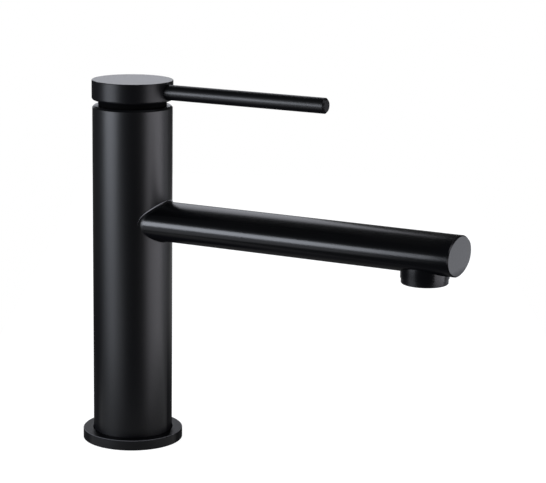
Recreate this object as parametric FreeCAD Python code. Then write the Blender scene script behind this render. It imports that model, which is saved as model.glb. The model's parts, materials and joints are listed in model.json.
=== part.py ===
import FreeCAD, Part
import math
import os

from FreeCAD import Vector

# Single-lever basin mixer with a round column, a flat cap with a pin lever and a straight oval spout.
# Millimetres and degrees. The origin is the centre of the foot on the deck, +Z is up and +X is
# the way that the spout and the lever point.

# Column
COLUMN_DIAMETER = 42.0
COLUMN_WALL = 3.0
COLUMN_HEIGHT = 180.2
COLUMN_BEVEL = 1.0

# Foot: flange, gasket and the insert that takes the fixing studs and lets the hoses through
FLANGE_OVERHANG = 5.6
FLANGE_HEIGHT = 5.3
FLANGE_BEVEL = 0.4
SHOULDER_HEIGHT = 2.4
SHOULDER_LIP = 1.5
GASKET_THICKNESS = 1.2
GASKET_WIDTH = 4.4
GASKET_INSET = 2.0
INSERT_HEIGHT = 10.0
STUD_DIAMETER = 8.0
STUD_SPACING = 23.0
HOSE_SLOT_LENGTH = 25.0
HOSE_SLOT_WIDTH = 12.5

# Valve core
CORE_RECESS = 1.0
CORE_BELOW_OUTLET = 20.0
CUP_WALL = 3.8
NUT_THREAD_WALL = 1.9
INLET_DIAMETER = 10.0
INLET_DEPTH = 12.0
INLET_SPACING = 13.0
OUTLET_DROP = 19.7
OUTLET_BORE_DIAMETER = 6.0

# Sleeve that joins the core to the spout
SLEEVE_DIAMETER = 12.0
SLEEVE_BORE = 8.0
SLEEVE_DEPTH = 6.0
SLEEVE_HEAD = 3.0
SLEEVE_HEAD_GAP = 0.75
O_RING_THICKNESS = 2.0

# Ports through the cartridge
INLET_PORT_DIAMETER = 4.0
INLET_PORT_X = 2.6
INLET_PORT_SPACING = 11.2
OUTLET_PORT_DIAMETER = 4.8
OUTLET_PORT_X = -6.5
SEAL_WIDTH = 1.4
SEAL_HEIGHT = 1.6
PEG_DIAMETER = 3.0
PEG_LENGTH = 3.0
PEG_SPACING = 16.0

# Ceramic cartridge
CARTRIDGE_BASE_HEIGHT = 6.0
FIXED_DISC_HEIGHT = 3.5
MOVING_DISC_HEIGHT = 4.0
MOVING_DISC_MARGIN = 0.3
POCKET_DEPTH = 2.0
POCKET_RIM = 1.75
POCKET_REACH = 2.0
CARRIER_HEIGHT = 4.3
CARRIER_RIM = 1.5
HOUSING_WALL = 1.7
HOUSING_LIP_HEIGHT = 2.0
HOUSING_LIP_WIDTH = 1.8
ROTOR_RISE = 2.0
STOP_KEY_WIDTH = 1.5
STOP_KEY_HALF_ANGLE = 12.0
NUT_HEIGHT = 4.0
NUT_WALL = 3.35
NUT_NOTCH_WIDTH = 4.0
NUT_NOTCH_DEPTH = 1.5

# Stem
PIVOT_DROP = 12.2
PIVOT_PIN_DIAMETER = 4.0
STEM_WIDTH = 8.0
STEM_BLADE_DROP = 6.0
STEM_NECK_DIAMETER = 2.8
STEM_ARM = 12.0
STEM_BALL_DIAMETER = 4.4
STEM_SLOT_REACH = 8.2

# Bonnet ring
BONNET_SPIGOT = 1.2
BONNET_WALL = 4.2
BONNET_RISE = 1.1
BONNET_CHAMFER = 1.0

# Handle
CAP_GAP = 3.0
CAP_OVERHANG = 0.3
CAP_HEIGHT = 10.4
CAP_WALL = 2.3
CAP_ROOF = 3.4
CAP_LOWER_ROUND = 1.2
CAP_UPPER_BEVEL = 0.25
HUB_DIAMETER = 13.4
BLOCK_WIDTH = 10.0
BLOCK_RISE = 1.8
LEVER_DIAMETER = 8.0
LEVER_REACH = 112.0
LEVER_SEAT = 2.0
LEVER_CHAMFER = 0.9
LEVER_TAIL_DIAMETER = 5.0
GRUB_LENGTH = 5.5
GRUB_KEY_WIDTH = 2.5
GRUB_KEY_DEPTH = 2.0

# Spout
SPOUT_WIDTH = 31.5
SPOUT_SECTION_HEIGHT = 20.5
SPOUT_WALL = 2.0
SPOUT_SIDE_RADIUS = 7.6
SPOUT_REACH = 185.0
SPOUT_ROOT_FILLET = 1.0
END_PLATE = 2.5
END_BEVEL = 0.6
END_SPIGOT = 5.0
END_SPIGOT_WALL = 2.0

# Aerator
AERATOR_SETBACK = 18.0
COLLAR_DIAMETER = 24.4
COLLAR_WALL = 1.2
COLLAR_DROP = 2.35
COLLAR_TOP_DROP = 2.0
COLLAR_LEDGE = 2.4
AERATOR_DIAMETER = 23.6
AERATOR_RIM = 2.8
AERATOR_THREAD = 6.0
AERATOR_WALL = 1.8
AERATOR_LIP = 0.6
AERATOR_LIP_HEIGHT = 0.7
AERATOR_EDGE_BEVEL = 0.3
WASHER_HEIGHT = 1.6
INSERT_GRID_PITCH = 2.5
INSERT_GRID_HOLE = 1.9
INSERT_GRID_RINGS = 3
SCREEN_THICKNESS = 0.6

# Motion
TURN_LIMIT = 45.0
LIFT_LIMIT = 20.0
STOP_CLEARANCE_ANGLE = 2.0

# Clearances
FIXED_FIT = 0.05
RUNNING_FIT = 0.08
PIN_FIT = 0.03
STEM_FIT = 0.2
SOCKET_FIT = 0.1
CORE_FIT = 0.1
AXIAL_PLAY = 0.1
BALL_FLOOR_GAP = 0.3
CARRIER_TOP_GAP = 0.5
STEM_TOP_GAP = 0.4
PIN_END_GAP = 0.6
CUT_MARGIN = 1.0

# Radii that follow
COLUMN_RADIUS = COLUMN_DIAMETER / 2
COLUMN_BORE = COLUMN_RADIUS - COLUMN_WALL
FLANGE_RADIUS = COLUMN_RADIUS + FLANGE_OVERHANG
INSERT_RADIUS = COLUMN_BORE - FIXED_FIT
CORE_RADIUS = COLUMN_BORE - CORE_FIT
NUT_BORE = CORE_RADIUS - NUT_THREAD_WALL
CUP_RADIUS = CORE_RADIUS - CUP_WALL
HOUSING_RADIUS = CUP_RADIUS - CORE_FIT
HOUSING_BORE = HOUSING_RADIUS - HOUSING_WALL
HOUSING_LIP_BORE = HOUSING_BORE - HOUSING_LIP_WIDTH
ROTOR_RADIUS = HOUSING_BORE - RUNNING_FIT
ROTOR_NECK_RADIUS = HOUSING_LIP_BORE - RUNNING_FIT
NUT_RADIUS = NUT_BORE - FIXED_FIT
BONNET_BORE = CORE_RADIUS - BONNET_WALL
CAP_RADIUS = COLUMN_RADIUS + CAP_OVERHANG
CAP_BORE = CAP_RADIUS - CAP_WALL
SLEEVE_RADIUS = SLEEVE_DIAMETER / 2
STEM_HALF = STEM_WIDTH / 2
PIN_RADIUS = PIVOT_PIN_DIAMETER / 2
BALL_RADIUS = STEM_BALL_DIAMETER / 2
LEVER_RADIUS = LEVER_DIAMETER / 2
LEVER_TAIL_RADIUS = LEVER_TAIL_DIAMETER / 2
COLLAR_RADIUS = COLLAR_DIAMETER / 2
COLLAR_BORE = COLLAR_RADIUS - COLLAR_WALL
AERATOR_BORE = COLLAR_BORE - FIXED_FIT - AERATOR_WALL
SLIDE_TRAVEL = STEM_ARM * math.sin(math.radians(LIFT_LIMIT))
DISC_REST_X = -SLIDE_TRAVEL / 2
MOVING_DISC_RADIUS = HOUSING_BORE - SLIDE_TRAVEL / 2 - MOVING_DISC_MARGIN

# Heights that follow
CORE_TOP = COLUMN_HEIGHT - CORE_RECESS
NUT_TOP = CORE_TOP - BONNET_SPIGOT
HOUSING_TOP = NUT_TOP - NUT_HEIGHT
HOUSING_LIP_BOTTOM = HOUSING_TOP - HOUSING_LIP_HEIGHT
PIVOT_HEIGHT = COLUMN_HEIGHT - PIVOT_DROP
BALL_HEIGHT = PIVOT_HEIGHT - STEM_ARM
CARRIER_BOTTOM = BALL_HEIGHT - BALL_RADIUS - BALL_FLOOR_GAP
CARRIER_TOP = CARRIER_BOTTOM + CARRIER_HEIGHT
ROTOR_BOTTOM = CARRIER_TOP + CARRIER_TOP_GAP
ROTOR_SHOULDER = HOUSING_LIP_BOTTOM - AXIAL_PLAY
ROTOR_TOP = HOUSING_TOP + ROTOR_RISE
MOVING_DISC_BOTTOM = CARRIER_BOTTOM - MOVING_DISC_HEIGHT
FIXED_DISC_BOTTOM = MOVING_DISC_BOTTOM - FIXED_DISC_HEIGHT
CUP_FLOOR = FIXED_DISC_BOTTOM - CARTRIDGE_BASE_HEIGHT
SPOUT_AXIS = CUP_FLOOR - OUTLET_DROP
CORE_BOTTOM = SPOUT_AXIS - CORE_BELOW_OUTLET
CAP_BOTTOM = COLUMN_HEIGHT + CAP_GAP
CAP_TOP = CAP_BOTTOM + CAP_HEIGHT
CAP_CEILING = CAP_TOP - CAP_ROOF
BONNET_TOP = CAP_BOTTOM + BONNET_RISE
LEVER_HEIGHT = CAP_BOTTOM + CAP_HEIGHT / 2
STEM_TOP = CAP_CEILING - STEM_TOP_GAP
COLLAR_BOTTOM = SPOUT_AXIS - SPOUT_SECTION_HEIGHT / 2 - COLLAR_DROP
COLLAR_TOP = SPOUT_AXIS - COLLAR_TOP_DROP
AERATOR_BOTTOM = COLLAR_BOTTOM - AERATOR_RIM
AERATOR_TOP = COLLAR_BOTTOM + AERATOR_THREAD
WASHER_TOP = AERATOR_TOP + WASHER_HEIGHT

# Places along X that follow
SLEEVE_START = CORE_RADIUS - SLEEVE_DEPTH
SLEEVE_HEAD_START = COLUMN_RADIUS + FIXED_FIT
SLEEVE_END = SLEEVE_HEAD_START + SLEEVE_HEAD
LEVER_START = CAP_RADIUS - LEVER_SEAT
GRUB_END = STEM_HALF + GRUB_LENGTH
SPOUT_TUBE_END = SPOUT_REACH - END_PLATE
AERATOR_X = SPOUT_REACH - AERATOR_SETBACK


# Shape helpers

def turned(profile):
    """Solid of revolution about Z of a closed outline of (radius, height) points."""
    points = [Vector(radius, 0, height) for radius, height in profile]
    face = Part.Face(Part.makePolygon(points + points[:1]))
    return face.revolve(Vector(0, 0, 0), Vector(0, 0, 1), 360)


def upright(radius, bottom, top, x=0.0, y=0.0):
    """Cylinder along Z."""
    return Part.makeCylinder(radius, top - bottom, Vector(x, y, bottom))


def ring(inner, outer, bottom, top, x=0.0, y=0.0):
    """Plain ring about an upright axis."""
    return upright(outer, bottom, top, x, y).cut(upright(inner, bottom, top, x, y))


def along_x(radius, start, end, height):
    """Cylinder along X in the plane of symmetry."""
    return Part.makeCylinder(radius, end - start, Vector(start, 0, height), Vector(1, 0, 0))


def along_y(radius, half_length, height):
    """Cylinder along Y, centred on the column's axis."""
    return Part.makeCylinder(radius, 2 * half_length, Vector(0, -half_length, height), Vector(0, 1, 0))


def block(half_x, half_y, bottom, top, x=0.0):
    """Box centred on (x, 0)."""
    return Part.makeBox(2 * half_x, 2 * half_y, top - bottom, Vector(x - half_x, -half_y, bottom))


def sector(radius, half_angle, bottom, top):
    """Wedge of a cylinder about Z, centred on +X."""
    wedge = Part.makeCylinder(radius, top - bottom, Vector(0, 0, bottom), Vector(0, 0, 1), 2 * half_angle)
    wedge.rotate(Vector(0, 0, 0), Vector(0, 0, 1), -half_angle)
    return wedge


def hexagon_along_x(corner_radius, start, end, height):
    """Six-sided prism along X."""
    corners = []
    for index in range(7):
        angle = math.radians(60 * index)
        corners.append(Vector(start, corner_radius * math.cos(angle), height + corner_radius * math.sin(angle)))
    return Part.Face(Part.makePolygon(corners)).extrude(Vector(end - start, 0, 0))


def oval_along_x(inset, start, end):
    """Prism along the spout's axis: its oval of four tangent arcs, drawn in by an inset."""
    half_width = SPOUT_WIDTH / 2
    half_height = SPOUT_SECTION_HEIGHT / 2
    side_y = half_width - SPOUT_SIDE_RADIUS
    rise = half_height - SPOUT_SIDE_RADIUS
    crown_z = (side_y ** 2 - rise ** 2) / (2 * rise)
    spread = math.atan2(side_y, crown_z)
    side = SPOUT_SIDE_RADIUS - inset
    crown = half_height + crown_z - inset
    edges = []
    for way in (1, -1):
        join_y = way * crown * math.sin(spread)
        join_z = way * (crown * math.cos(spread) - crown_z)
        top = Vector(start, 0, SPOUT_AXIS + way * (half_height - inset))
        first = Vector(start, -join_y, SPOUT_AXIS + join_z)
        second = Vector(start, join_y, SPOUT_AXIS + join_z)
        third = Vector(start, join_y, SPOUT_AXIS - join_z)
        flank = Vector(start, way * (side_y + side), SPOUT_AXIS)
        edges.append(Part.Arc(first, top, second).toShape())
        edges.append(Part.Arc(second, flank, third).toShape())
    return Part.Face(Part.Wire(edges)).extrude(Vector(end - start, 0, 0))


def grouped(shapes):
    """Separate solids kept together in one node."""
    return Part.makeCompound(shapes)


# Foot

def base_flange():
    socket = COLUMN_RADIUS + FIXED_FIT
    lip = COLUMN_BORE - SHOULDER_LIP
    body = turned([
        (lip, 0),
        (FLANGE_RADIUS, 0),
        (FLANGE_RADIUS, FLANGE_HEIGHT - FLANGE_BEVEL),
        (FLANGE_RADIUS - FLANGE_BEVEL, FLANGE_HEIGHT),
        (socket + FLANGE_BEVEL, FLANGE_HEIGHT),
        (socket, FLANGE_HEIGHT - FLANGE_BEVEL),
        (socket, SHOULDER_HEIGHT),
        (lip, SHOULDER_HEIGHT),
    ])
    return body.cut(gasket_ring(0.0))


def gasket_ring(gap):
    """The gasket's ring, or its groove when the gap is zero."""
    outer = FLANGE_RADIUS - GASKET_INSET
    return ring(outer - GASKET_WIDTH + gap, outer - gap, 0, GASKET_THICKNESS)


def base_gasket():
    return gasket_ring(FIXED_FIT)


def base_insert():
    bottom = SHOULDER_HEIGHT
    top = bottom + INSERT_HEIGHT
    disc = upright(INSERT_RADIUS, bottom, top)
    half_straight = (HOSE_SLOT_LENGTH - HOSE_SLOT_WIDTH) / 2
    slot = block(HOSE_SLOT_WIDTH / 2, half_straight, bottom, top)
    for side in (-1, 1):
        slot = slot.fuse(upright(HOSE_SLOT_WIDTH / 2, bottom, top, 0, side * half_straight))
        disc = disc.cut(upright(STUD_DIAMETER / 2, bottom, top, side * STUD_SPACING / 2))
    return disc.cut(slot)


def column():
    tube = turned([
        (COLUMN_BORE, SHOULDER_HEIGHT),
        (COLUMN_RADIUS, SHOULDER_HEIGHT),
        (COLUMN_RADIUS, COLUMN_HEIGHT - COLUMN_BEVEL),
        (COLUMN_RADIUS - COLUMN_BEVEL, COLUMN_HEIGHT),
        (COLUMN_BORE, COLUMN_HEIGHT),
    ])
    return tube.cut(along_x(SLEEVE_RADIUS + FIXED_FIT, 0, COLUMN_RADIUS + CUT_MARGIN, SPOUT_AXIS))


# Valve core and its outlet

def inlet_places():
    return [(INLET_PORT_X, side * INLET_PORT_SPACING / 2) for side in (-1, 1)]


def peg_places():
    return [(0.0, side * PEG_SPACING / 2) for side in (-1, 1)]


def valve_core():
    core = turned([
        (0, CORE_BOTTOM),
        (CORE_RADIUS, CORE_BOTTOM),
        (CORE_RADIUS, CORE_TOP),
        (NUT_BORE, CORE_TOP),
        (NUT_BORE, HOUSING_TOP),
        (CUP_RADIUS, HOUSING_TOP),
        (CUP_RADIUS, CUP_FLOOR),
        (0, CUP_FLOOR),
    ])
    for x, y in inlet_places():
        port_y = math.copysign(INLET_SPACING / 2, y)
        core = core.cut(upright(INLET_DIAMETER / 2, CORE_BOTTOM, CORE_BOTTOM + INLET_DEPTH, 0, port_y))
        core = core.cut(upright(INLET_PORT_DIAMETER / 2, CORE_BOTTOM, CUP_FLOOR, x, y))
    for x, y in peg_places():
        core = core.cut(upright(PEG_DIAMETER / 2 + FIXED_FIT, CUP_FLOOR - PEG_LENGTH - FIXED_FIT, CUP_FLOOR, x, y))
    core = core.cut(upright(OUTLET_PORT_DIAMETER / 2, SPOUT_AXIS, CUP_FLOOR, OUTLET_PORT_X))
    core = core.cut(along_x(OUTLET_BORE_DIAMETER / 2, OUTLET_PORT_X, CORE_RADIUS, SPOUT_AXIS))
    core = core.cut(along_x(SLEEVE_RADIUS + FIXED_FIT, SLEEVE_START, CORE_RADIUS, SPOUT_AXIS))
    return core.cut(along_x(o_ring_recess(), o_ring_start(), CORE_RADIUS, SPOUT_AXIS))


def o_ring_recess():
    return SLEEVE_RADIUS + O_RING_THICKNESS + 2 * FIXED_FIT


def o_ring_start():
    """The recess is deep enough to keep the ring inside the column's bore."""
    minor = O_RING_THICKNESS / 2
    major = SLEEVE_RADIUS + FIXED_FIT + minor
    return math.sqrt((CORE_RADIUS - minor) ** 2 - major ** 2) - minor


def outlet_sleeve():
    head_radius = SPOUT_SECTION_HEIGHT / 2 - SPOUT_WALL - SLEEVE_HEAD_GAP
    sleeve = along_x(SLEEVE_RADIUS, SLEEVE_START, SLEEVE_END, SPOUT_AXIS)
    sleeve = sleeve.fuse(hexagon_along_x(head_radius, SLEEVE_HEAD_START, SLEEVE_END, SPOUT_AXIS))
    return sleeve.cut(along_x(SLEEVE_BORE / 2, SLEEVE_START, SLEEVE_END, SPOUT_AXIS))


def outlet_o_ring():
    minor = O_RING_THICKNESS / 2
    major = SLEEVE_RADIUS + FIXED_FIT + minor
    centre = Vector(o_ring_start() + minor, 0, SPOUT_AXIS)
    return Part.makeTorus(major, minor, centre, Vector(1, 0, 0))


# Cartridge

def ported(shape, bottom, top):
    """Cuts the two inlet ports and the outlet port."""
    for x, y in inlet_places():
        shape = shape.cut(upright(INLET_PORT_DIAMETER / 2, bottom, top, x, y))
    return shape.cut(upright(OUTLET_PORT_DIAMETER / 2, bottom, top, OUTLET_PORT_X))


def port_seals(gap):
    """The three port seals, or their recesses when the gap is zero."""
    ports = [(INLET_PORT_DIAMETER / 2, x, y) for x, y in inlet_places()]
    ports.append((OUTLET_PORT_DIAMETER / 2, OUTLET_PORT_X, 0.0))
    top = CUP_FLOOR + SEAL_HEIGHT
    return [ring(radius + gap, radius + SEAL_WIDTH - gap, CUP_FLOOR, top, x, y) for radius, x, y in ports]


def cartridge_base():
    plate = upright(HOUSING_RADIUS, CUP_FLOOR, FIXED_DISC_BOTTOM)
    for x, y in peg_places():
        plate = plate.fuse(upright(PEG_DIAMETER / 2, CUP_FLOOR - PEG_LENGTH, CUP_FLOOR, x, y))
    plate = ported(plate, CUP_FLOOR, FIXED_DISC_BOTTOM)
    return plate.cut(grouped(port_seals(0.0)))


def cartridge_seals():
    return grouped(port_seals(FIXED_FIT))


def fixed_disc():
    disc = upright(HOUSING_BORE - FIXED_FIT, FIXED_DISC_BOTTOM, MOVING_DISC_BOTTOM)
    return ported(disc, FIXED_DISC_BOTTOM, MOVING_DISC_BOTTOM)


def moving_disc():
    disc = upright(MOVING_DISC_RADIUS, MOVING_DISC_BOTTOM, CARRIER_BOTTOM, DISC_REST_X)
    pocket_top = MOVING_DISC_BOTTOM + POCKET_DEPTH
    pocket = upright(MOVING_DISC_RADIUS - POCKET_RIM, MOVING_DISC_BOTTOM, pocket_top, DISC_REST_X)
    land = block(MOVING_DISC_RADIUS, MOVING_DISC_RADIUS, MOVING_DISC_BOTTOM, pocket_top,
                 DISC_REST_X + POCKET_REACH + MOVING_DISC_RADIUS)
    return disc.cut(pocket.cut(land))


def disc_carrier():
    slider = upright(MOVING_DISC_RADIUS - CARRIER_RIM, CARRIER_BOTTOM, CARRIER_TOP, DISC_REST_X)
    return slider.cut(upright(BALL_RADIUS + SOCKET_FIT, CARRIER_BOTTOM, CARRIER_TOP))


def cartridge_housing():
    shell = turned([
        (HOUSING_BORE, FIXED_DISC_BOTTOM),
        (HOUSING_RADIUS, FIXED_DISC_BOTTOM),
        (HOUSING_RADIUS, HOUSING_TOP),
        (HOUSING_LIP_BORE, HOUSING_TOP),
        (HOUSING_LIP_BORE, HOUSING_LIP_BOTTOM),
        (HOUSING_BORE, HOUSING_LIP_BOTTOM),
    ])
    slot_angle = TURN_LIMIT + STOP_KEY_HALF_ANGLE + STOP_CLEARANCE_ANGLE
    slot_radius = ROTOR_NECK_RADIUS + STOP_KEY_WIDTH + RUNNING_FIT
    return shell.cut(sector(slot_radius, slot_angle, HOUSING_LIP_BOTTOM, HOUSING_TOP))


def stem_rotor():
    rotor = turned([
        (0, ROTOR_BOTTOM),
        (ROTOR_RADIUS, ROTOR_BOTTOM),
        (ROTOR_RADIUS, ROTOR_SHOULDER),
        (ROTOR_NECK_RADIUS, ROTOR_SHOULDER),
        (ROTOR_NECK_RADIUS, ROTOR_TOP),
        (0, ROTOR_TOP),
    ])
    key = sector(ROTOR_NECK_RADIUS + STOP_KEY_WIDTH, STOP_KEY_HALF_ANGLE, ROTOR_SHOULDER, HOUSING_TOP)
    rotor = rotor.fuse(key).removeSplitter()
    rotor = rotor.cut(block(STEM_SLOT_REACH, STEM_HALF + STEM_FIT, ROTOR_BOTTOM, ROTOR_TOP))
    return rotor.cut(along_y(PIN_RADIUS + PIN_FIT, ROTOR_RADIUS, PIVOT_HEIGHT))


def stem_pivot_pin():
    return along_y(PIN_RADIUS, ROTOR_RADIUS - PIN_END_GAP, PIVOT_HEIGHT)


def stem():
    blade = block(STEM_HALF, STEM_HALF, PIVOT_HEIGHT - STEM_BLADE_DROP, STEM_TOP)
    neck = upright(STEM_NECK_DIAMETER / 2, BALL_HEIGHT, PIVOT_HEIGHT - STEM_BLADE_DROP)
    ball = Part.makeSphere(BALL_RADIUS, Vector(0, 0, BALL_HEIGHT))
    bar = blade.fuse([neck, ball]).removeSplitter()
    return bar.cut(along_y(PIN_RADIUS + PIN_FIT, STEM_HALF, PIVOT_HEIGHT))


def retaining_nut():
    nut = ring(NUT_RADIUS - NUT_WALL, NUT_RADIUS, HOUSING_TOP, NUT_TOP)
    notch_bottom = NUT_TOP - NUT_NOTCH_DEPTH
    nut = nut.cut(block(NUT_RADIUS, NUT_NOTCH_WIDTH / 2, notch_bottom, NUT_TOP))
    return nut.cut(block(NUT_NOTCH_WIDTH / 2, NUT_RADIUS, notch_bottom, NUT_TOP))


def bonnet_ring():
    return turned([
        (BONNET_BORE, NUT_TOP),
        (NUT_RADIUS, NUT_TOP),
        (NUT_RADIUS, CORE_TOP),
        (CORE_RADIUS, CORE_TOP),
        (CORE_RADIUS, BONNET_TOP - BONNET_CHAMFER),
        (CORE_RADIUS - BONNET_CHAMFER, BONNET_TOP),
        (BONNET_BORE, BONNET_TOP),
    ])


# Handle

def handle_cap():
    body = upright(CAP_RADIUS, CAP_BOTTOM, CAP_TOP)
    rims = [edge for edge in body.Edges if len(edge.Vertexes) == 1]
    lower = [edge for edge in rims if abs(edge.CenterOfMass.z - CAP_BOTTOM) < FIXED_FIT]
    upper = [edge for edge in rims if abs(edge.CenterOfMass.z - CAP_TOP) < FIXED_FIT]
    body = body.makeFillet(CAP_LOWER_ROUND, lower).makeChamfer(CAP_UPPER_BEVEL, upper)
    hollow = upright(CAP_BORE, CAP_BOTTOM, CAP_CEILING)
    hub = upright(HUB_DIAMETER / 2, CAP_BOTTOM, CAP_CEILING)
    half_block = (CAP_BORE + CUT_MARGIN) / 2
    lever_block = block(half_block, BLOCK_WIDTH / 2, CAP_BOTTOM + BLOCK_RISE, CAP_CEILING, half_block)
    body = body.cut(hollow.cut(hub.fuse(lever_block)))
    socket = STEM_HALF + FIXED_FIT
    body = body.cut(block(socket, socket, CAP_BOTTOM, STEM_TOP + FIXED_FIT))
    body = body.cut(along_x(LEVER_TAIL_RADIUS + FIXED_FIT, 0, CAP_RADIUS, LEVER_HEIGHT))
    return body.cut(along_x(LEVER_RADIUS + FIXED_FIT, LEVER_START, CAP_RADIUS, LEVER_HEIGHT))


def lever_rod():
    tail_start = GRUB_END + BALL_FLOOR_GAP
    rod = along_x(LEVER_RADIUS, LEVER_START, LEVER_REACH, LEVER_HEIGHT)
    ends = [edge for edge in rod.Edges if abs(edge.CenterOfMass.x - LEVER_REACH) < FIXED_FIT]
    rod = rod.makeChamfer(LEVER_CHAMFER, ends)
    return rod.fuse(along_x(LEVER_TAIL_RADIUS, tail_start, LEVER_START, LEVER_HEIGHT))


def handle_grub_screw():
    screw = along_x(LEVER_TAIL_RADIUS, STEM_HALF, GRUB_END, LEVER_HEIGHT)
    corner = GRUB_KEY_WIDTH / math.sqrt(3)
    return screw.cut(hexagon_along_x(corner, GRUB_END - GRUB_KEY_DEPTH, GRUB_END, LEVER_HEIGHT))


# Spout

def spout_blank():
    """Oval bar joined to a post of the column's size, with a fillet where they meet."""
    half_width = SPOUT_WIDTH / 2
    half_height = SPOUT_SECTION_HEIGHT / 2
    bar = oval_along_x(0, 0, SPOUT_TUBE_END)
    post = upright(COLUMN_RADIUS, 0, COLUMN_HEIGHT)
    joined = bar.fuse(post)
    saddle = []
    for edge in joined.Edges:
        middle = edge.valueAt((edge.FirstParameter + edge.LastParameter) / 2)
        on_post = abs(math.hypot(middle.x, middle.y) - COLUMN_RADIUS) < FIXED_FIT
        on_bar = abs(middle.y) < half_width + FIXED_FIT and abs(middle.z - SPOUT_AXIS) < half_height + FIXED_FIT
        if on_post and on_bar and middle.x > 0:
            saddle.append(edge)
    return joined.makeFillet(SPOUT_ROOT_FILLET, saddle)


def spout_tube():
    tube = spout_blank().cut(upright(COLUMN_RADIUS + FIXED_FIT, 0, COLUMN_HEIGHT))
    tube = tube.cut(oval_along_x(SPOUT_WALL, 0, SPOUT_TUBE_END))
    return tube.cut(collar_room())


def collar_room():
    """Hole through the underside that the collar is set in."""
    return upright(COLLAR_RADIUS + FIXED_FIT, 0, COLLAR_TOP + FIXED_FIT, AERATOR_X)


def spout_end_cap():
    plate = oval_along_x(0, SPOUT_TUBE_END, SPOUT_REACH)
    ends = [edge for edge in plate.Edges if abs(edge.CenterOfMass.x - SPOUT_REACH) < FIXED_FIT]
    plate = plate.makeChamfer(END_BEVEL, ends)
    inset = SPOUT_WALL + FIXED_FIT
    start = SPOUT_TUBE_END - END_SPIGOT
    spigot = oval_along_x(inset, start, SPOUT_TUBE_END)
    hollow = oval_along_x(inset + END_SPIGOT_WALL, start, SPOUT_TUBE_END)
    return plate.fuse(spigot.cut(hollow)).cut(collar_room())


# Aerator

def at_aerator(shape):
    shape.translate(Vector(AERATOR_X, 0, 0))
    return shape


def outlet_collar():
    return at_aerator(turned([
        (COLLAR_BORE, COLLAR_BOTTOM),
        (COLLAR_RADIUS, COLLAR_BOTTOM),
        (COLLAR_RADIUS, COLLAR_TOP),
        (COLLAR_BORE - COLLAR_LEDGE, COLLAR_TOP),
        (COLLAR_BORE - COLLAR_LEDGE, WASHER_TOP),
        (COLLAR_BORE, WASHER_TOP),
    ]))


def aerator_housing():
    rim = AERATOR_DIAMETER / 2
    thread = COLLAR_BORE - FIXED_FIT
    ledge = AERATOR_BOTTOM + AERATOR_LIP_HEIGHT
    return at_aerator(turned([
        (AERATOR_BORE - AERATOR_LIP, AERATOR_BOTTOM),
        (rim - AERATOR_EDGE_BEVEL, AERATOR_BOTTOM),
        (rim, AERATOR_BOTTOM + AERATOR_EDGE_BEVEL),
        (rim, COLLAR_BOTTOM),
        (thread, COLLAR_BOTTOM),
        (thread, AERATOR_TOP),
        (AERATOR_BORE, AERATOR_TOP),
        (AERATOR_BORE, ledge),
        (AERATOR_BORE - AERATOR_LIP, ledge),
    ]))


def grid_places():
    """Centres of a hexagonal grid of holes about the aerator's axis."""
    places = []
    for row in range(-INSERT_GRID_RINGS, INSERT_GRID_RINGS + 1):
        count = 2 * INSERT_GRID_RINGS + 1 - abs(row)
        for index in range(count):
            x = INSERT_GRID_PITCH * (index - (count - 1) / 2)
            places.append((x, INSERT_GRID_PITCH * row * math.sqrt(3) / 2))
    return places


def honeycomb_cell(bottom, top, x, y):
    corner_radius = INSERT_GRID_HOLE / math.sqrt(3)
    corners = []
    for index in range(7):
        angle = math.radians(60 * index + 30)
        corners.append(Vector(x + corner_radius * math.cos(angle), y + corner_radius * math.sin(angle), bottom))
    return Part.Face(Part.makePolygon(corners)).extrude(Vector(0, 0, top - bottom))


def aerator_insert():
    bottom = AERATOR_BOTTOM + AERATOR_LIP_HEIGHT
    top = AERATOR_TOP - SCREEN_THICKNESS
    body = upright(AERATOR_BORE - FIXED_FIT, bottom, top)
    cells = [honeycomb_cell(bottom, top, x, y) for x, y in grid_places()]
    return at_aerator(body.cut(grouped(cells)))


def aerator_screen():
    return at_aerator(upright(AERATOR_BORE - FIXED_FIT, AERATOR_TOP - SCREEN_THICKNESS, AERATOR_TOP))


def aerator_washer():
    return at_aerator(ring(COLLAR_BORE - COLLAR_LEDGE, COLLAR_BORE - FIXED_FIT, AERATOR_TOP, WASHER_TOP))


PIECES = [
    base_flange, base_gasket, base_insert, column,
    valve_core, outlet_sleeve, outlet_o_ring,
    cartridge_base, cartridge_seals, fixed_disc, moving_disc, disc_carrier,
    cartridge_housing, stem_rotor, stem_pivot_pin, stem, retaining_nut, bonnet_ring,
    handle_cap, lever_rod, handle_grub_screw,
    spout_tube, spout_end_cap,
    outlet_collar, aerator_housing, aerator_insert, aerator_screen, aerator_washer,
]

os.makedirs("parts", exist_ok=True)
for piece in PIECES:
    piece().exportStep("parts/" + piece.__name__ + ".step")
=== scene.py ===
import json
import math

import bpy
from mathutils import Matrix, Vector


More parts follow.
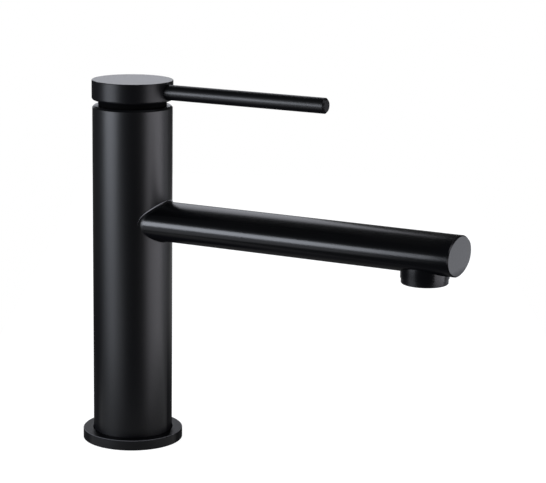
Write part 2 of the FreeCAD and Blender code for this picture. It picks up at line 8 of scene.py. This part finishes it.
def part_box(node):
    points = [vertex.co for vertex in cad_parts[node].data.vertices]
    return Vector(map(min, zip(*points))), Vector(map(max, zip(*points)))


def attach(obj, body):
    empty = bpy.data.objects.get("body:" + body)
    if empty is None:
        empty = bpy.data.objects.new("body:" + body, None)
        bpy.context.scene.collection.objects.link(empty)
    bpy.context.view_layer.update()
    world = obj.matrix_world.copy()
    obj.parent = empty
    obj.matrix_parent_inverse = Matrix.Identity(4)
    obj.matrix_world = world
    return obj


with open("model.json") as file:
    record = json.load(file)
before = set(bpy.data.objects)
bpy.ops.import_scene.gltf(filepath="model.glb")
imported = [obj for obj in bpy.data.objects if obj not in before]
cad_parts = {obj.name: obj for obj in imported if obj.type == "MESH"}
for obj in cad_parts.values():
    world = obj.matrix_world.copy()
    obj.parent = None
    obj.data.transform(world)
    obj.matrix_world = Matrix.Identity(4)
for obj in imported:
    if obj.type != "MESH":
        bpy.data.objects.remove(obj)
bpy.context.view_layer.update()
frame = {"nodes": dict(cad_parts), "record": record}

# Camera, fitted to the photograph. Lengths in metres, angles in degrees.
CAMERA_PLACE = Vector((0.517113, -0.863710, 0.326932))
CAMERA_AZIMUTH = 26.663
CAMERA_ELEVATION = 12.176
CAMERA_ROLL = 0.819
CAMERA_LENS = 127.88
CAMERA_SENSOR = 36.0
CAMERA_SHIFT_X = -0.00089
CAMERA_SHIFT_Y = -0.0067
CAMERA_CLIP = 0.01

# Directions: level ones in degrees from the camera's side to the right, as the camera sees it, and up
TO_CAMERA = 0.0
TO_RIGHT = 90.0
TO_BACK = 180.0
UP = Vector((0, 0, 1))

# Stage: a white sheet on the deck and a white backdrop. The gloss shows a grey studio beside and above them.
STAGE_CENTRE = Vector((0.075, 0.02, 0.0))
WHITE = (1, 1, 1, 1)
FLOOR_DROP = 0.0002
FLOOR_FRONT = 0.064
FLOOR_SIDE = 0.176
FLOOR_BACK = 0.8
FLOOR_COLOUR = (0.3, 0.3, 0.3, 1)
FLOOR_GLOW = 0.92
STUDIO_GREY = 0.095
BACKDROP_SIDE = 0.18
BACKDROP_EDGE = 0.08
BACKDROP_TOP = 0.04
BACKDROP_LEAST = 0.001

# Places on the coat: gaps, lengths and fades beside the boxes of the nodes, and heights above the deck
ARM_GAP = 0.0001
ARM_FADE = 0.001
HEIGHT_FADE = 0.006
FOOT_LOW = 0.004
FOOT_TOP = 0.07
RIM_LOW = 0.02
RIM_TOP = 0.14
EDGE_WIDTH = 0.0004
EDGE_DEPTH = 0.0002
EDGE_FADE = 0.0001
TIP_LENGTH = 0.0015
TIP_FADE = 0.0008
END_LENGTH = 0.013
END_FADE = 0.011

# Slopes on the coat: where a part of the normal, or the slant to the view, starts and ends a fade
UPRIGHT_SLOPE = (0.3, 0.7)
DOWN_SLOPE = (-0.65, -0.15)
END_FACE_SLOPE = (0.7, 0.9)
SLANT_BLEND = 0.5
RIM_SLANT = (0.3, 0.6)
ARM_SLANT = (0.55, 0.95)

# Painted shade: how far the coat's gloss gives way to a dark diffuse there, from gloss (0) to dark diffuse
# (1)
NOZZLE_SHADE = 0.55
FOOT_SHADE = 0.5
ARM_RIM_SHADE = 0.7
CAP_SHADE = 0.4
TIP_SHADE = 0.6
END_SHADE = 0.5
FULL_SHADE = 0.93

# Coat: colours and gloss
COAT_DARK = (0.0006, 0.0007, 0.0009, 1)
COAT_LIGHT = (0.0012, 0.0013, 0.0016, 1)
# Lighter grey painted as a highlight line along the flange's top edge
COAT_EDGE_HIGHLIGHT = (0.06, 0.06, 0.063, 1)
# Near-black diffuse that paints shade where the coat's gloss is taken away
COAT_SHADE = (0.0025, 0.0025, 0.003, 1)
COAT_SPECULAR = 0.18
COAT_ROUGH = (0.36, 0.41)
SPOUT_SMOOTH = 0.155

# Noises: scale per metre, detail and roughness. Bumps: height in metres and strength.
NOISE_SPAN = (0.3, 0.7)
CLOUD_NOISE = (35.0, 3.0, 0.5)
PEEL_NOISE = (900.0, 2.0, 0.45)
PEEL_BUMP = (0.00002, 0.1)
GRAIN_NOISE = (4200.0, 2.0, 0.6)
GRAIN_BUMP = (0.00001, 0.15)
BLOTCH_NOISE = (90.0, 4.0, 0.55)
SPECK_DETAIL = 2.0
SPECK_ROUGHNESS = 0.6
SPECK_HEIGHT = 0.00005
SPECK_STRENGTH = 0.15

# Other finishes: two colours that mix in blotches, the span of roughness and the specks per metre
FINISHES = {
    "black_plastic": {
        "dark": (0.0005, 0.0005, 0.0006, 1),
        "light": (0.0010, 0.0010, 0.0011, 1),
        "rough": (0.70, 0.86),
        "specks": 2600.0,
        "specular": 0.012,
    },
    "brass": {
        "dark": (0.66, 0.46, 0.19, 1),
        "light": (0.80, 0.60, 0.30, 1),
        "rough": (0.24, 0.40),
        "specks": 1500.0,
        "metallic": 1.0,
    },
    "ceramic": {
        "dark": (0.82, 0.80, 0.73, 1),
        "light": (0.88, 0.86, 0.80, 1),
        "rough": (0.10, 0.22),
        "specks": 5200.0,
        "strength": 0.05,
    },
    "white_plastic": {
        "dark": (0.74, 0.74, 0.70, 1),
        "light": (0.82, 0.82, 0.79, 1),
        "rough": (0.38, 0.52),
        "specks": 2200.0,
    },
    "grey_plastic": {
        "dark": (0.22, 0.23, 0.25, 1),
        "light": (0.28, 0.29, 0.31, 1),
        "rough": (0.38, 0.52),
        "specks": 2200.0,
    },
    "steel": {
        "dark": (0.52, 0.52, 0.53, 1),
        "light": (0.66, 0.66, 0.67, 1),
        "rough": (0.26, 0.42),
        "specks": 3000.0,
        "metallic": 1.0,
    },
    "rubber": {
        "dark": (0.020, 0.020, 0.021, 1),
        "light": (0.034, 0.034, 0.035, 1),
        "rough": (0.68, 0.86),
        "specks": 1800.0,
        "strength": 0.3,
    },
}
# Light grey of the bead that paints a highlight line along the joint above the spout's root
JOINT_HIGHLIGHT_COAT = {
    "dark": (0.16, 0.16, 0.17, 1),
    "light": (0.26, 0.26, 0.275, 1),
    "rough": (0.30, 0.42),
    "specks": 2600.0,
}

# Painted highlight line above the spout's root: the radius of the oval's sides, and the bead that carries it
SPOUT_SIDE_RADIUS = 0.0076
BEAD_OFFSET = 0.0008
BEAD_RADIUS = 0.00030
BEAD_POINT = 0.05
BEAD_STEPS = 48
BEAD_SIDES = 10

# Softboxes and cards. Angles are level directions as above, powers are in watts.
SOFTBOX_COLOUR = (0.90, 0.92, 1.0)
LEFT_COLOUR = (0.86, 0.905, 1.0)
LEFT_ANGLE = -61.0
LEFT_DISTANCE = 1.2
LEFT_HEIGHT = 0.225
LEFT_SIZE = (0.80, 0.56)
LEFT_POWER = 30.5
RIGHT_COLOUR = (0.94, 0.925, 1.0)
RIGHT_ANGLE = 70.0
RIGHT_DISTANCE = 1.2
RIGHT_HEIGHT = -0.02
RIGHT_SIZE = (1.15, 0.45)
RIGHT_POWER = 17.5
BACK_ANGLE = 189.0
BACK_DISTANCE = 1.1
BACK_HEIGHT = 0.68
BACK_SIZE = (0.6, 0.86)
BACK_POWER = 3.5
TOP_ANGLE = 72.0
TOP_DISTANCE = 0.8
TOP_HEIGHT = 0.8
TOP_SIZE = (0.6, 0.4)
TOP_POWER = 5.0
CARD_PLACE = Vector((0.30, 0.29, 0.06))
CARD_AIM = Vector((0.185, 0.0, 0.12))
CARD_SIZE = (0.22, 0.2)
CARD_POWER = 0.2
LOW_PLACE = Vector((-0.065, -0.24, 0.0))
LOW_AIM = Vector((0.06, 0.0, 0.12))
LOW_SIZE = (0.2, 0.12)
LOW_POWER = 0.15

# Sockets of the Mix node that carry colours, which share their names with others
MIX_FACTOR = 0
MIX_FIRST = 6
MIX_SECOND = 7
MIX_RESULT = 2


# Node helpers

class Tree:
    """Adds nodes to a tree and links them, socket by socket."""

    def __init__(self, tree):
        self.tree = tree
        self.tree.nodes.clear()

    def add(self, kind, settings=None, **inputs):
        node = self.tree.nodes.new(kind)
        for name, value in (settings or {}).items():
            setattr(node, name, value)
        for name, value in inputs.items():
            self.set(node, name.replace("_", " "), value)
        return node

    def set(self, node, socket, value):
        target = node.inputs[socket]
        if isinstance(value, bpy.types.NodeSocket):
            self.tree.links.new(value, target)
        else:
            target.default_value = value

    def math(self, operation, first, second=None):
        node = self.add("ShaderNodeMath", {"operation": operation})
        self.set(node, 0, first)
        if second is not None:
            self.set(node, 1, second)
        return node.outputs[0]

    def product(self, first, *others):
        for other in others:
            first = self.math("MULTIPLY", first, other)
        return first

    def vector_math(self, operation, first, second=None):
        node = self.add("ShaderNodeVectorMath", {"operation": operation})
        self.set(node, 0, first)
        if second is not None:
            self.set(node, 1, second)
        return node.outputs

    def dot(self, vector, direction):
        return self.vector_math("DOT_PRODUCT", vector, direction)["Value"]

    def radius(self, place):
        """Distance from the upright axis through the origin."""
        level = self.vector_math("MULTIPLY", place, (1, 1, 0))["Vector"]
        return self.vector_math("LENGTH", level)["Value"]

    def ramp(self, value, low, high, out_low, out_high):
        """A soft step from one number at low to another at high."""
        node = self.add("ShaderNodeMapRange", {"interpolation_type": "SMOOTHSTEP"}, Value=value)
        sockets = ("From Min", "From Max", "To Min", "To Max")
        for socket, number in zip(sockets, (low, high, out_low, out_high)):
            self.set(node, socket, number)
        return node.outputs["Result"]

    def rise(self, value, low, high, peak=1.0):
        return self.ramp(value, low, high, 0.0, peak)

    def fall(self, value, low, high, peak=1.0):
        return self.ramp(value, low, high, peak, 0.0)

    def noise(self, place, scale, detail, roughness):
        node = self.add("ShaderNodeTexNoise", Vector=place, Scale=scale, Detail=detail, Roughness=roughness)
        return node.outputs["Fac"]

    def mix_colour(self, factor, first, second):
        node = self.add("ShaderNodeMix", {"data_type": "RGBA"})
        self.set(node, MIX_FACTOR, factor)
        self.set(node, MIX_FIRST, first)
        self.set(node, MIX_SECOND, second)
        return node.outputs[MIX_RESULT]

    def bump(self, pattern, height, strength, below=None):
        node = self.add("ShaderNodeBump", Height=pattern, Distance=height, Strength=strength)
        if below is not None:
            self.set(node, "Normal", below)
        return node.outputs["Normal"]

    def surface(self, shader, kind="ShaderNodeOutputMaterial"):
        self.add(kind, Surface=shader.outputs[0])


def new_material(name):
    material = bpy.data.materials.new(name)
    material.use_nodes = True
    return material, Tree(material.node_tree)


def add_object(name, data):
    added = bpy.data.objects.new(name, data)
    bpy.context.scene.collection.objects.link(added)
    return added


# Materials

def speckled(name, dark, light, rough, specks, metallic=0.0, specular=0.5, strength=SPECK_STRENGTH):
    """A finish with blotches of colour, uneven gloss and fine specks."""
    material, tree = new_material(name)
    place = tree.add("ShaderNodeTexCoord").outputs["Object"]
    blotches = tree.noise(place, *BLOTCH_NOISE)
    speckles = tree.noise(place, specks, SPECK_DETAIL, SPECK_ROUGHNESS)
    shader = tree.add("ShaderNodeBsdfPrincipled", Metallic=metallic, Specular_IOR_Level=specular)
    tree.set(shader, "Base Color", tree.mix_colour(blotches, dark, light))
    tree.set(shader, "Roughness", tree.ramp(speckles, *NOISE_SPAN, *rough))
    tree.set(shader, "Normal", tree.bump(speckles, SPECK_HEIGHT, strength))
    tree.surface(shader)
    return material


def own_box(name):
    """Lowest and highest corner of a node in its own coordinates, which no pose moves."""
    axes = list(zip(*frame["nodes"][name].bound_box))
    return Vector(min(axis) for axis in axes), Vector(max(axis) for axis in axes)


def coat_masks(tree, place, normal):
    """How much painted shade, how smooth and how much painted edge highlight the coat has at each place,
    each from 0 to 1.
    """
    column_top = own_box("column")[1].z
    flange = own_box("base_flange")[1]
    cap_low, cap_high = own_box("handle_cap")
    lever_low, lever_high = own_box("lever_rod")
    spout_low, spout_high = own_box("spout_end_cap")
    arm_start = cap_high.y + ARM_GAP
    tip_start = lever_high.x - TIP_LENGTH
    end_start = spout_high.x - END_LENGTH
    edge_radius = flange.y - EDGE_WIDTH
    edge_height = flange.z - EDGE_DEPTH

    radius = tree.radius(place)
    places = tree.add("ShaderNodeSeparateXYZ", Vector=place).outputs
    reach = places["X"]
    height = places["Z"]
    facing = tree.add("ShaderNodeSeparateXYZ", Vector=normal).outputs
    slant = tree.add("ShaderNodeLayerWeight", Blend=SLANT_BLEND).outputs["Facing"]
    upright = tree.fall(facing["Z"], *UPRIGHT_SLOPE)
    arm = tree.rise(radius, arm_start, arm_start + ARM_FADE)
    trunk = tree.math("SUBTRACT", 1.0, arm)
    below_lever = tree.fall(height, spout_high.z, lever_low.z)
    at_lever = tree.rise(height, spout_high.z, lever_low.z)

    smooth = tree.product(arm, below_lever, tree.rise(height, spout_low.z - HEIGHT_FADE, spout_low.z))
    # Painted highlight: a lighter band along the flange's top edge, where the painted shade is lifted
    edge_highlight = tree.product(
        tree.rise(radius, edge_radius - EDGE_FADE, edge_radius),
        tree.rise(height, edge_height - EDGE_FADE, edge_height),
        tree.fall(height, flange.z, flange.z + HEIGHT_FADE),
    )
    nozzle = tree.product(arm, tree.fall(height, spout_low.z, spout_low.z + HEIGHT_FADE, NOZZLE_SHADE))
    foot = tree.fall(height, FOOT_LOW, FOOT_TOP, FOOT_SHADE)
    column_rim = tree.product(upright, tree.rise(slant, *RIM_SLANT), tree.fall(height, RIM_LOW, RIM_TOP))
    arm_rim = tree.product(arm, tree.rise(slant, *ARM_SLANT, ARM_RIM_SHADE))
    cap_side = tree.product(trunk, upright, tree.rise(height, column_top, cap_low.z, CAP_SHADE))
    lever_tip = tree.product(at_lever, tree.rise(reach, tip_start, tip_start + TIP_FADE, TIP_SHADE))
    spout_end = tree.product(
        tree.rise(reach, end_start, end_start + END_FADE, END_SHADE),
        tree.fall(facing["X"], *END_FACE_SLOPE),
    )
    # Painted shade: the gloss gives way to a dark diffuse where the coat faces down and at each place below
    painted_shade = tree.fall(facing["Z"], *DOWN_SLOPE)
    for shade_place in (nozzle, foot, column_rim, arm_rim, cap_side, lever_tip, spout_end):
        painted_shade = tree.math("MAXIMUM", painted_shade, shade_place)
    return tree.product(painted_shade, tree.math("SUBTRACT", 1.0, edge_highlight)), smooth, edge_highlight


def coat_material():
    """Satin black powder coat with a fine orange peel, smoother on the spout, with a painted highlight along
    the flange's edge.

    Painted shade swaps its gloss for a dark diffuse where it faces down, at the foot, the outlet, the cap's
    side, the lever's tip and the spout's end, and at grazing angles on the column, the spout and the lever.
    """
    material, tree = new_material("matte_black_coat")
    coordinates = tree.add("ShaderNodeTexCoord").outputs
    place = coordinates["Object"]
    painted_shade, smooth, edge_highlight = coat_masks(tree, place, coordinates["Normal"])
    cloud = tree.noise(place, *CLOUD_NOISE)
    peel = tree.noise(place, *PEEL_NOISE)
    grain = tree.noise(place, *GRAIN_NOISE)
    coat = tree.mix_colour(cloud, COAT_DARK, COAT_LIGHT)
    rough = tree.ramp(grain, *NOISE_SPAN, *COAT_ROUGH)
    shader = tree.add("ShaderNodeBsdfPrincipled", Specular_IOR_Level=COAT_SPECULAR)
    # The base colour takes the painted highlight's lighter grey on the flange's edge
    tree.set(shader, "Base Color", tree.mix_colour(edge_highlight, coat, COAT_EDGE_HIGHLIGHT))
    tree.set(shader, "Roughness", tree.math("SUBTRACT", rough, tree.product(smooth, SPOUT_SMOOTH)))
    tree.set(shader, "Normal", tree.bump(grain, *GRAIN_BUMP, tree.bump(peel, *PEEL_BUMP)))
    # Painted shade: a near-black diffuse mixed in over the gloss by the shade mask
    shade_diffuse = tree.add("ShaderNodeBsdfDiffuse", Color=COAT_SHADE)
    both = tree.add("ShaderNodeMixShader")
    tree.set(both, 0, tree.product(painted_shade, FULL_SHADE))
    tree.set(both, 1, shader.outputs[0])
    tree.set(both, 2, shade_diffuse.outputs[0])
    tree.surface(both)
    return material


def dress_nodes():
    materials = {"matte_black_coat": coat_material()}
    for name, finish in FINISHES.items():
        materials[name] = speckled(name, **finish)
    for row in frame["record"]["subparts"]:
        for slot in frame["nodes"][row["node"]].material_slots:
            slot.material = materials[row["material_slot"]]


dress_nodes()


# Painted highlight line on the upper half of the joint between the spout and the column

def joint_line(side, outwards):
    """Points on the column's wall, outside the spout's oval, from its side to the middle of its top."""
    low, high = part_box("spout_end_cap")
    column_low, column_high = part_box("column")
    half_width = (high.y - low.y) / 2
    half_height = (high.z - low.z) / 2
    axis_height = (high.z + low.z) / 2
    wall = (column_high.y - column_low.y) / 2
    side_centre = half_width - SPOUT_SIDE_RADIUS
    rise = half_height - SPOUT_SIDE_RADIUS
    drop = (side_centre ** 2 - rise ** 2) / (2 * rise)
    top_radius = half_height + drop
    turn = math.atan2(drop, side_centre)
    points = []
    for step in range(BEAD_STEPS + 1):
        angle = math.radians(90) * step / BEAD_STEPS
        if angle < turn:
            across = side_centre + (SPOUT_SIDE_RADIUS + outwards) * math.cos(angle)
            up = (SPOUT_SIDE_RADIUS + outwards) * math.sin(angle)
        else:
            across = (top_radius + outwards) * math.cos(angle)
            up = (top_radius + outwards) * math.sin(angle) - drop
        points.append(Vector((math.sqrt(wall ** 2 - across ** 2), side * across, axis_height + up)))
    return points


def make_bead(name, points):
    """A thin round bead along the points, thickest halfway across them and pointed at its ends."""
    vertices = []
    faces = []
    last = len(points) - 1
    widest = max(abs(point.y) for point in points)
    for index, point in enumerate(points):
        ahead = (points[min(index + 1, last)] - points[max(index - 1, 0)]).normalized()
        outwards = Vector((point.x, point.y, 0)).normalized()
        sideways = ahead.cross(outwards).normalized()
        radius = BEAD_RADIUS * max(math.sin(math.pi * abs(point.y) / widest), BEAD_POINT)
        for corner in range(BEAD_SIDES):
            angle = 2 * math.pi * corner / BEAD_SIDES
            vertices.append(point + (outwards * math.cos(angle) + sideways * math.sin(angle)) * radius)
    for index in range(last):
        start = index * BEAD_SIDES
        for corner in range(BEAD_SIDES):
            following = (corner + 1) % BEAD_SIDES
            ring = (start + corner, start + following)
            next_ring = (start + BEAD_SIDES + following, start + BEAD_SIDES + corner)
            faces.append(ring + next_ring)
    faces.append(tuple(reversed(range(BEAD_SIDES))))
    faces.append(tuple(last * BEAD_SIDES + corner for corner in range(BEAD_SIDES)))
    mesh = bpy.data.meshes.new(name)
    mesh.from_pydata(vertices, [], faces)
    mesh.shade_smooth()
    bead = add_object(name, mesh)
    # The bead's light grey paints a highlight line along the joint
    mesh.materials.append(speckled(name, **JOINT_HIGHLIGHT_COAT))
    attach(bead, "root")


make_bead("joint_edge_near", joint_line(-1, BEAD_OFFSET))
make_bead("joint_edge_far", joint_line(1, BEAD_OFFSET))


# Camera

def make_camera():
    azimuth = math.radians(CAMERA_AZIMUTH)
    elevation = math.radians(CAMERA_ELEVATION)
    roll = math.radians(CAMERA_ROLL)
    back = Vector((
        math.sin(azimuth) * math.cos(elevation),
        -math.cos(azimuth) * math.cos(elevation),
        math.sin(elevation),
    ))
    right = Vector((math.cos(azimuth), math.sin(azimuth), 0))
    up = back.cross(right)
    axis_x = right * math.cos(roll) + up * math.sin(roll)
    axis_y = up * math.cos(roll) - right * math.sin(roll)
    data = bpy.data.cameras.new("camera")
    data.lens = CAMERA_LENS
    data.sensor_width = CAMERA_SENSOR
    data.sensor_fit = "HORIZONTAL"
    data.shift_x = CAMERA_SHIFT_X
    data.shift_y = CAMERA_SHIFT_Y
    data.clip_start = CAMERA_CLIP
    camera = add_object("camera", data)
    turn = Matrix((axis_x, axis_y, back)).transposed()
    camera.matrix_world = Matrix.Translation(CAMERA_PLACE) @ turn.to_4x4()
    bpy.context.scene.camera = camera


make_camera()


# Stage

def towards(angle):
    """Level direction from the object, turned from the camera's side to the right as the camera sees it."""
    azimuth = math.radians(CAMERA_AZIMUTH + angle)
    return Vector((math.sin(azimuth), -math.cos(azimuth), 0))


def seen_rays(tree):
    """The rays that show the background: those from the camera, and those off a gloss or through glass."""
    path = tree.add("ShaderNodeLightPath").outputs
    return path["Is Camera Ray"], tree.math("MAXIMUM", path["Is Glossy Ray"], path["Is Transmission Ray"])


def make_floor():
    mesh = bpy.data.meshes.new("floor")
    corners = []
    for along, across in ((FLOOR_FRONT, -1), (FLOOR_FRONT, 1), (-FLOOR_BACK, 1), (-FLOOR_BACK, -1)):
        point = STAGE_CENTRE + towards(TO_CAMERA) * along + towards(TO_RIGHT) * across * FLOOR_SIDE
        corners.append((point.x, point.y, -FLOOR_DROP))
    mesh.from_pydata(corners, [], [(0, 1, 2, 3)])
    floor = add_object("floor", mesh)
    material, tree = new_material("floor")
    diffuse = tree.add("ShaderNodeBsdfDiffuse", Color=FLOOR_COLOUR)
    emission = tree.add("ShaderNodeEmission", Color=WHITE)
    seen = tree.math("MAXIMUM", *seen_rays(tree))
    tree.set(emission, "Strength", tree.product(seen, FLOOR_GLOW))
    both = tree.add("ShaderNodeAddShader")
    tree.set(both, 0, diffuse.outputs[0])
    tree.set(both, 1, emission.outputs[0])
    tree.surface(both)
    mesh.materials.append(material)


def make_world():
    """White to the camera all round. In the gloss, white low down behind the object and grey elsewhere."""
    world = bpy.data.worlds.new("studio")
    world.use_nodes = True
    bpy.context.scene.world = world
    tree = Tree(world.node_tree)
    direction = tree.add("ShaderNodeTexCoord").outputs["Generated"]
    across = tree.math("ABSOLUTE", tree.dot(direction, towards(TO_RIGHT)))
    back = tree.dot(direction, towards(TO_BACK))
    height = tree.dot(direction, UP)
    # The least depth keeps the division away from zero
    depth = tree.math("MAXIMUM", back, BACKDROP_LEAST)
    aside = tree.math("DIVIDE", across, depth)
    camera, gloss = seen_rays(tree)
    backdrop = tree.product(
        gloss,
        tree.fall(aside, BACKDROP_SIDE, BACKDROP_SIDE + BACKDROP_EDGE),
        tree.fall(height, BACKDROP_TOP, BACKDROP_TOP + BACKDROP_EDGE),
        tree.rise(back, 0.0, BACKDROP_SIDE),
    )
    white = tree.math("MAXIMUM", backdrop, camera)
    background = tree.add("ShaderNodeBackground", Color=WHITE)
    tree.set(background, "Strength", tree.ramp(white, 0.0, 1.0, STUDIO_GREY, 1.0))
    tree.surface(background, "ShaderNodeOutputWorld")


def softbox(name, place, aim, size, power, colour=SOFTBOX_COLOUR):
    data = bpy.data.lights.new(name, "AREA")
    data.shape = "RECTANGLE"
    data.size, data.size_y = size
    data.energy = power
    data.color = colour
    lamp = add_object(name, data)
    lamp.location = place
    lamp.rotation_euler = (aim - place).to_track_quat("-Z", "Y").to_euler()
    lamp.visible_camera = False


def upright_softbox(name, angle, distance, height, size, power, colour=SOFTBOX_COLOUR):
    level = UP * height
    softbox(name, towards(angle) * distance + level, level, size, power, colour)


def make_lights():
    upright_softbox("left_softbox", LEFT_ANGLE, LEFT_DISTANCE, LEFT_HEIGHT, LEFT_SIZE, LEFT_POWER,
                    LEFT_COLOUR)
    upright_softbox("right_softbox", RIGHT_ANGLE, RIGHT_DISTANCE, RIGHT_HEIGHT, RIGHT_SIZE, RIGHT_POWER,
                    RIGHT_COLOUR)
    upright_softbox("back_softbox", BACK_ANGLE, BACK_DISTANCE, BACK_HEIGHT, BACK_SIZE, BACK_POWER)
    top_place = towards(TOP_ANGLE) * TOP_DISTANCE + UP * TOP_HEIGHT
    softbox("top_softbox", top_place, STAGE_CENTRE, TOP_SIZE, TOP_POWER)
    softbox("side_card", CARD_PLACE, CARD_AIM, CARD_SIZE, CARD_POWER)
    softbox("low_card", LOW_PLACE, LOW_AIM, LOW_SIZE, LOW_POWER)


make_floor()
make_world()
make_lights()
bpy.context.scene.view_settings.view_transform = "Standard"
